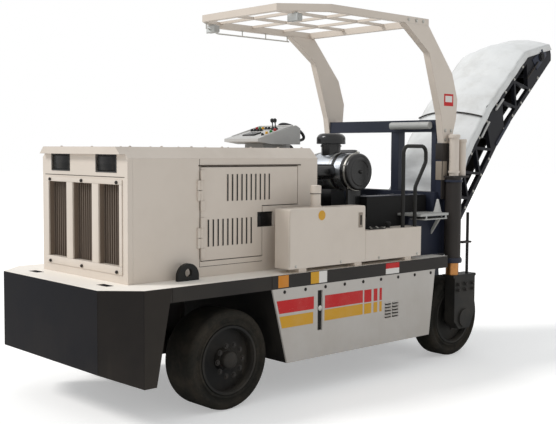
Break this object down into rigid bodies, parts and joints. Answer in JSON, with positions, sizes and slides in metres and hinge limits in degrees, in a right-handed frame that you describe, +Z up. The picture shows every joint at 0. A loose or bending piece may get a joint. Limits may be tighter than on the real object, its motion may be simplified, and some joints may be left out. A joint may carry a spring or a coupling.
{
  "type": "cold planer milling machine",
  "caption": "Wheeled cold planer with a milling drum under its frame, long engine hood, open canopy and a kinked rear loading conveyor.",
  "frame": {"origin": "on the ground below the middle of the machine's overall length and width", "axes": "+X forward to the ballast nose, +Y to the machine's left, +Z up"},
  "size_m": [5.7182, 1.728, 3.039],
  "materials": {
    "ballast_paint": "matte, near black navy",
    "frame_paint": "satin dark grey brown",
    "cream_paint": "satin warm off-white",
    "skirt_paint": "satin off-white with red and yellow stripes",
    "navy_paint": "satin dark navy",
    "black_paint": "satin black",
    "grey_paint": "satin light grey",
    "solid_rubber": "matte worn rubber",
    "belt_rubber": "matte",
    "rim_paint": "matte dark grey",
    "column_steel": "polished, bronze tinted by grease",
    "rod_chrome": "polished",
    "machined_steel": "bare steel",
    "drum_steel": "bare worn steel",
    "engine_iron": "plain",
    "radiator_fins": "dull",
    "lamp_glass": "dark smoked lens",
    "tarpaulin": "white woven cover",
    "seat_vinyl": "matte black",
    "cleaner_paint": "gloss black"
  },
  "bodies": {
    "chassis": {"ballast_box": "ballast_paint", "main_frame": "frame_paint", "lashing_rings": "machined_steel", "front_axle": "black_paint", "milling_chamber": "black_paint", "left_skirt": "skirt_paint", "right_skirt": "skirt_paint", "hood_shell": "cream_paint", "hood_front": "cream_paint", "grille": "grey_paint", "radiator_core": "radiator_fins", "engine_block": "engine_iron", "headlamps": "lamp_glass", "left_tank": "cream_paint", "right_tank": "cream_paint", "platform": "black_paint", "step_plates": "grey_paint", "left_handrail": "black_paint", "right_handrail": "black_paint", "console": "grey_paint", "steering_wheel": "black_paint", "seat": "seat_vinyl", "air_cleaner": "cleaner_paint", "rear_frame": "navy_paint", "leg_cylinders": "cream_paint", "back_rail": "navy_paint", "canopy_posts": "cream_paint", "canopy_roof": "cream_paint", "canopy_lamps": "lamp_glass"},
    "left_knuckle_body": {"left_knuckle": "black_paint"},
    "right_knuckle_body": {"right_knuckle": "black_paint"},
    "front_left_wheel": {"front_left_tyre": "solid_rubber", "front_left_rim": "rim_paint"},
    "front_right_wheel": {"front_right_tyre": "solid_rubber", "front_right_rim": "rim_paint"},
    "left_leg": {"left_fork": "ballast_paint", "left_column": "column_steel"},
    "right_leg": {"right_fork": "ballast_paint", "right_column": "column_steel"},
    "rear_left_wheel": {"rear_left_tyre": "solid_rubber", "rear_left_rim": "rim_paint"},
    "rear_right_wheel": {"rear_right_tyre": "solid_rubber", "rear_right_rim": "rim_paint"},
    "drum": {"milling_drum": "drum_steel"},
    "left_hood_door": {"left_door": "cream_paint"},
    "right_hood_door": {"right_door": "cream_paint"},
    "slewing_yoke": {"slew_yoke": "navy_paint"},
    "conveyor": {"conveyor_truss": "navy_paint", "conveyor_pulleys": "machined_steel", "conveyor_belt": "belt_rubber", "conveyor_cover": "tarpaulin"},
    "cylinder_barrel": {"lift_barrel": "navy_paint"},
    "cylinder_rod": {"lift_rod": "rod_chrome"}
  },
  "joints": [
    {"name": "left_steering", "type": "hinge", "parent": "chassis", "child": "left_knuckle_body", "pos_m": [1.8821, 0.56, 0.3555], "axis": [0, 0, 1], "range_deg": [-30, 30]},
    {"name": "front_left_spin", "type": "hinge", "parent": "left_knuckle_body", "child": "front_left_wheel", "pos_m": [1.8821, 0.64, 0.3555], "axis": [0, 1, 0], "continuous": true},
    {"name": "left_leg_lift", "type": "slide", "parent": "chassis", "child": "left_leg", "axis": [0, 0, 1], "range_m": [-0.25, 0.1]},
    {"name": "rear_left_spin", "type": "hinge", "parent": "left_leg", "child": "rear_left_wheel", "pos_m": [-0.7729, 0.64, 0.3555], "axis": [0, 1, 0], "continuous": true},
    {"name": "left_door_hinge", "type": "hinge", "parent": "chassis", "child": "left_hood_door", "pos_m": [1.9631, 0.58, 1.374], "axis": [0, 0, -1], "range_deg": [0, 100]},
    {"name": "right_steering", "type": "hinge", "parent": "chassis", "child": "right_knuckle_body", "pos_m": [1.8821, -0.56, 0.3555], "axis": [0, 0, 1], "range_deg": [-30, 30]},
    {"name": "front_right_spin", "type": "hinge", "parent": "right_knuckle_body", "child": "front_right_wheel", "pos_m": [1.8821, -0.64, 0.3555], "axis": [0, 1, 0], "continuous": true},
    {"name": "right_leg_lift", "type": "slide", "parent": "chassis", "child": "right_leg", "axis": [0, 0, 1], "range_m": [-0.25, 0.1]},
    {"name": "rear_right_spin", "type": "hinge", "parent": "right_leg", "child": "rear_right_wheel", "pos_m": [-0.7729, -0.64, 0.3555], "axis": [0, 1, 0], "continuous": true},
    {"name": "right_door_hinge", "type": "hinge", "parent": "chassis", "child": "right_hood_door", "pos_m": [1.9631, -0.58, 1.374], "axis": [0, 0, 1], "range_deg": [0, 100]},
    {"name": "drum_spin", "type": "hinge", "parent": "chassis", "child": "drum", "pos_m": [0.5591, 0, 0.495], "axis": [0, 1, 0], "continuous": true},
    {"name": "conveyor_slew", "type": "hinge", "parent": "chassis", "child": "slewing_yoke", "pos_m": [-0.7809, 0, 0.305], "axis": [0, 0, 1], "range_deg": [-35, 35]},
    {"name": "conveyor_luff", "type": "hinge", "parent": "slewing_yoke", "child": "conveyor", "pos_m": [-0.7409, 0, 0.56], "axis": [0, 1, 0], "range_deg": [-15, 5]},
    {"name": "cylinder_swing", "type": "hinge", "parent": "slewing_yoke", "child": "cylinder_barrel", "pos_m": [-1.0409, 0, 0.4], "axis": [0, 1, 0], "range_deg": [-16, 6]},
    {"name": "cylinder_stroke", "type": "slide", "parent": "cylinder_barrel", "child": "cylinder_rod", "axis": [-0.4713, 0, 0.882], "range_m": [-0.1, 0.04]}
  ],
  "couplings": [
    {"joint": "right_steering", "follows": "left_steering", "ratio": 1},
    {"joint": "cylinder_swing", "follows": "conveyor_luff", "ratio": 1.03},
    {"joint": "cylinder_stroke", "follows": "conveyor_luff", "m_per_rad": 0.34}
  ]
}
